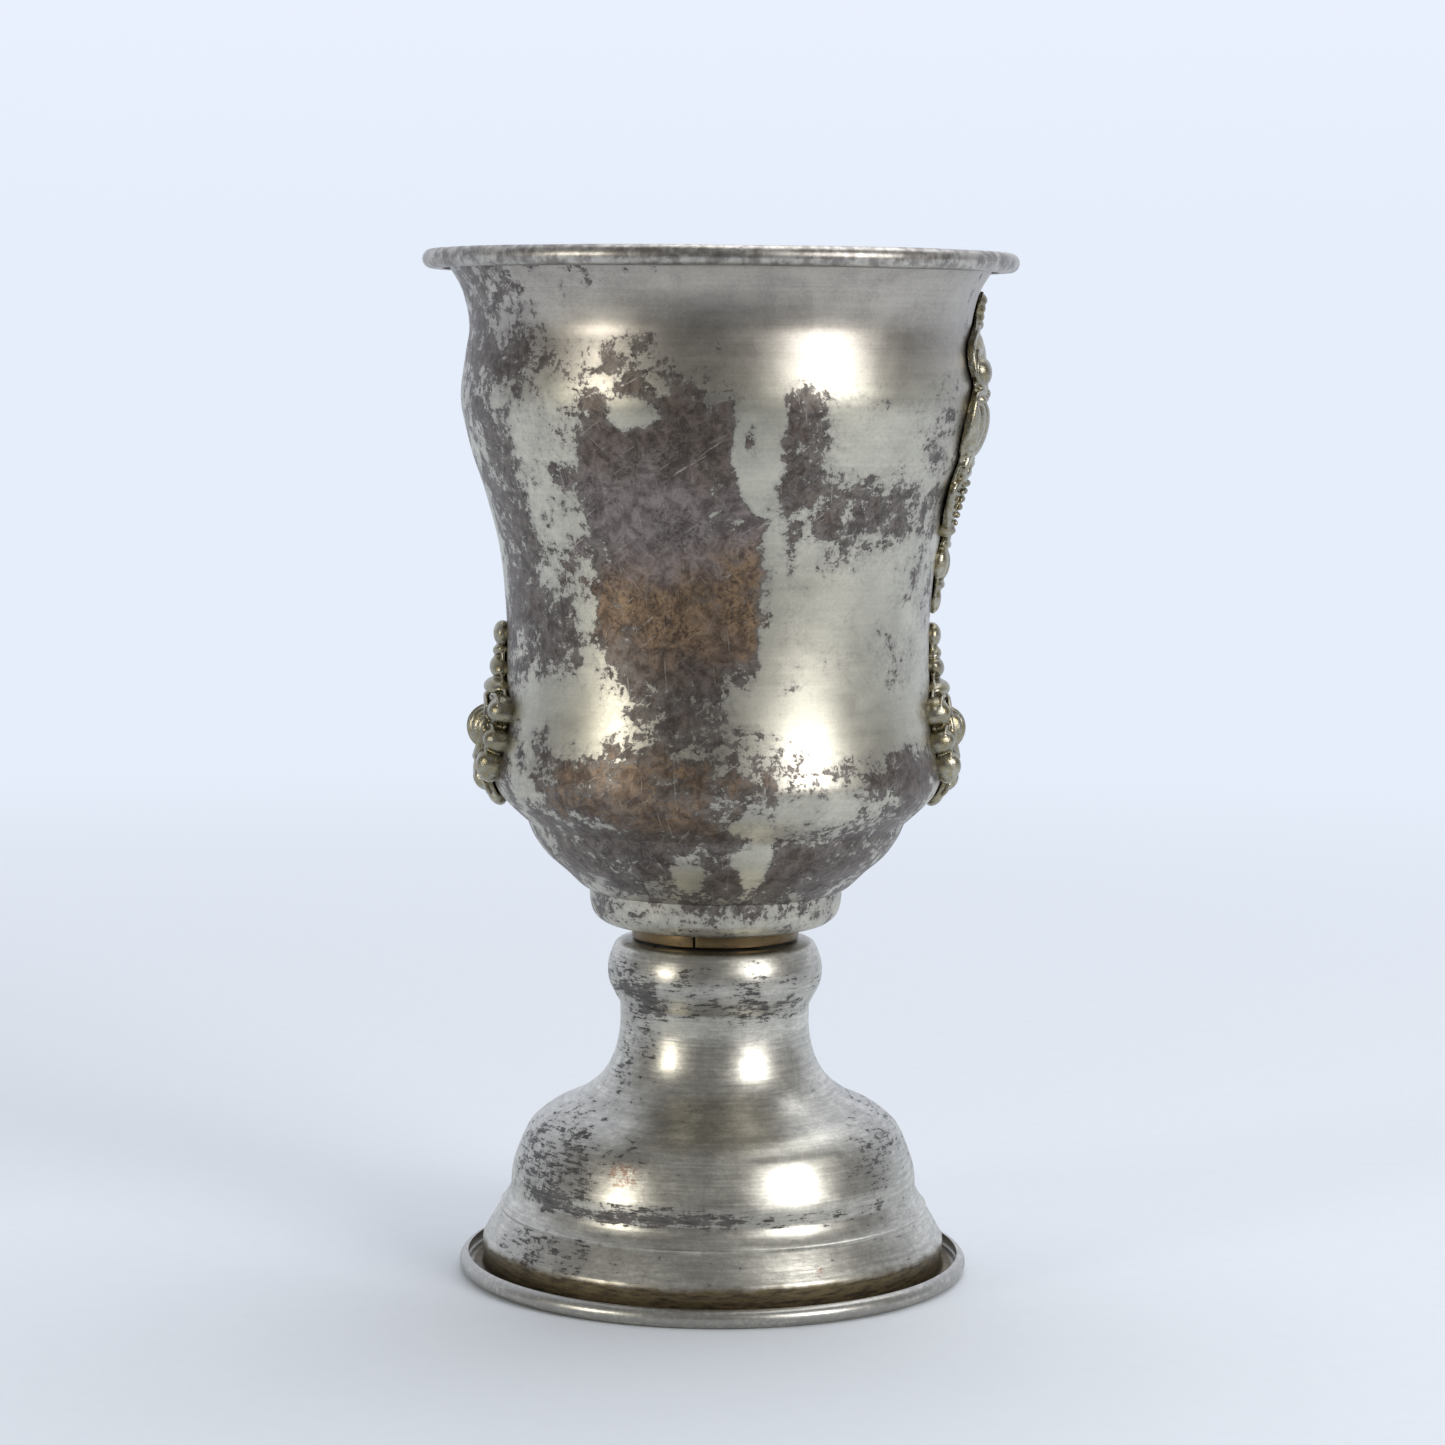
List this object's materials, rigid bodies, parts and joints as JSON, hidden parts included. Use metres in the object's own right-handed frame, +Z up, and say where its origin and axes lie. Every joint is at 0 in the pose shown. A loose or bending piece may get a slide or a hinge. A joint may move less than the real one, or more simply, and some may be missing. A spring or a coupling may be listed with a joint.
{
  "type": "communion chalice",
  "caption": "Metal chalice: a tall waisted bowl with a rolled lip and cast ornaments, on a knopped stem and a round spread foot.",
  "frame": {"origin": "on the surface that the foot stands on, under the centre of the cup", "axes": "+Z up along the cup's axis, +X towards the tall ornament"},
  "size_m": [0.0866, 0.0866, 0.15],
  "materials": {
    "bowl_plate": "worn silver plate on spun brass, brown and black tarnish",
    "foot_plate": "worn silver plate on spun brass, brushed, fine scratches",
    "collar_brass": "dull bent brass strip",
    "stud_steel": "turned and threaded",
    "solder": "dull tin solder",
    "washer_brass": "dull pressed brass",
    "nut_steel": "plated hexagon nut, worn",
    "cast_ornament": "cast and silvered, brassy where rubbed, dark in the hollows"
  },
  "bodies": {
    "root": {"bowl": "bowl_plate", "foot": "foot_plate", "stem_collar": "collar_brass", "bowl_stud": "stud_steel", "stud_solder": "solder", "clamp_washer": "washer_brass", "clamp_nut": "nut_steel", "emblem": "cast_ornament", "emblem_solder_upper": "solder", "emblem_solder_lower": "solder", "rosette_right": "cast_ornament", "rosette_right_solder": "solder", "rosette_left": "cast_ornament", "rosette_left_solder": "solder"}
  },
  "joints": []
}
